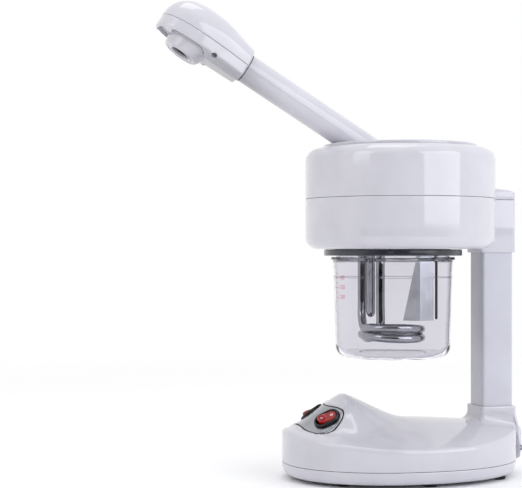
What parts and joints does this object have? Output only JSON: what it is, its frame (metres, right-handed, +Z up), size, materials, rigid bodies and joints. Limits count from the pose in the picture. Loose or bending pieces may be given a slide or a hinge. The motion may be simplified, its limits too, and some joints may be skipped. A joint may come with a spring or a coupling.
{
  "type": "facial steamer",
  "caption": "Tabletop facial steamer: oval base with rocker switches, square column, round boiler drum over a glass jar, and a swivelling arm with a steam head.",
  "frame": {"origin": "centre of the bounding box in plan, at the level of the feet", "axes": "+Z up; -X is the front, where the arm and the switches point; +X is the rear, where the column and the power inlet are; +Y is across"},
  "size_m": [0.3592, 0.182, 0.4457],
  "materials": {
    "shell_white": "polished white ABS with a cool tint",
    "column_white": "satin white",
    "panel_silver": "satin silver",
    "black_gloss": "glossy black",
    "black_matte": "fine matte black",
    "rocker_red": "translucent red",
    "foot_rubber": "matte",
    "wire_sleeve": "matte sleeve",
    "screw_steel": "bright plated",
    "plate_steel": "brushed",
    "heater_chrome": "bright plated",
    "pin_brass": "bright",
    "jar_glass": "clear heat-resistant glass",
    "lamp_glass": "clear",
    "seal_silicone": "milky silicone",
    "duct_plastic": "satin",
    "ceramic_white": "glazed",
    "coil_copper": "varnished winding",
    "board_green": "solder mask"
  },
  "bodies": {
    "base": {"base_lower_shell": "shell_white", "base_upper_shell": "shell_white", "switch_panel": "panel_silver", "steam_switch_bezel": "black_gloss", "ozone_switch_bezel": "black_gloss", "foot_1_near": "foot_rubber", "foot_1_far": "foot_rubber", "foot_2_near": "foot_rubber", "foot_2_far": "foot_rubber", "foot_3_near": "foot_rubber", "foot_3_far": "foot_rubber", "base_screw_1": "screw_steel", "base_screw_2": "screw_steel", "power_inlet": "duct_plastic", "inlet_pin_earth": "pin_brass", "inlet_pin_live": "pin_brass", "inlet_pin_neutral": "pin_brass", "rear_screw_near": "screw_steel", "rear_screw_far": "screw_steel", "control_board": "board_green", "ozone_transformer": "coil_copper", "board_fuse": "ceramic_white", "column": "column_white", "column_bracket": "plate_steel", "column_wiring": "wire_sleeve", "housing_lower_shell": "shell_white", "housing_upper_shell": "shell_white", "jar_collar": "black_gloss", "heater_plate": "plate_steel", "heater_coil": "heater_chrome", "splash_baffle": "plate_steel", "steam_duct": "duct_plastic", "heater_terminal_1": "ceramic_white", "heater_terminal_2": "ceramic_white", "level_probe": "black_matte", "sensor_well": "heater_chrome", "thermostat": "plate_steel", "ozone_lamp": "lamp_glass"},
    "turntable": {"turntable": "shell_white", "turntable_retainer": "duct_plastic"},
    "arm": {"arm_tube": "shell_white", "arm_ball": "duct_plastic", "pivot_pin_near": "screw_steel", "pivot_pin_far": "screw_steel"},
    "head": {"head_upper_shell": "shell_white", "head_lower_shell": "shell_white", "nozzle_cup": "shell_white", "steam_elbow": "seal_silicone", "head_screw_near": "screw_steel", "head_screw_far": "screw_steel", "head_swivel_ring": "duct_plastic"},
    "steam_rocker": {"steam_rocker": "rocker_red"},
    "ozone_rocker": {"ozone_rocker": "rocker_red"},
    "jar_seal": {"jar_gasket": "seal_silicone"},
    "jar": {"glass_jar": "jar_glass"}
  },
  "joints": [
    {"name": "arm_swivel", "type": "hinge", "parent": "base", "child": "turntable", "pos_m": [0.05973, 0, 0.3136], "axis": [0, 0, 1], "range_deg": [-90, 90]},
    {"name": "arm_tilt", "type": "hinge", "parent": "turntable", "child": "arm", "pos_m": [0.05973, 0, 0.292], "axis": [0, 1, 0], "range_deg": [0, 25]},
    {"name": "head_turn", "type": "hinge", "parent": "arm", "child": "head", "pos_m": [-0.09528, 0, 0.38737], "axis": [-0.8517, 0, 0.524], "range_deg": [-90, 90]},
    {"name": "steam_rocker_press", "type": "hinge", "parent": "base", "child": "steam_rocker", "pos_m": [-0.02051, -0.02329, 0.05812], "axis": [0, -0.8716, -0.4902], "range_deg": [0, 20]},
    {"name": "ozone_rocker_press", "type": "hinge", "parent": "base", "child": "ozone_rocker", "pos_m": [-0.02051, 0.02329, 0.05812], "axis": [0, -0.8716, 0.4902], "range_deg": [0, 20]},
    {"name": "jar_turn", "type": "hinge", "parent": "base", "child": "jar_seal", "pos_m": [0.05253, 0, 0.2138], "axis": [0, 0, 1], "range_deg": [0, 50]},
    {"name": "jar_lower", "type": "slide", "parent": "jar_seal", "child": "jar", "axis": [0, 0, -1], "range_m": [0, 0.003]}
  ],
  "couplings": [
    {"joint": "jar_lower", "follows": "jar_turn", "m_per_rad": 0.0034377}
  ]
}
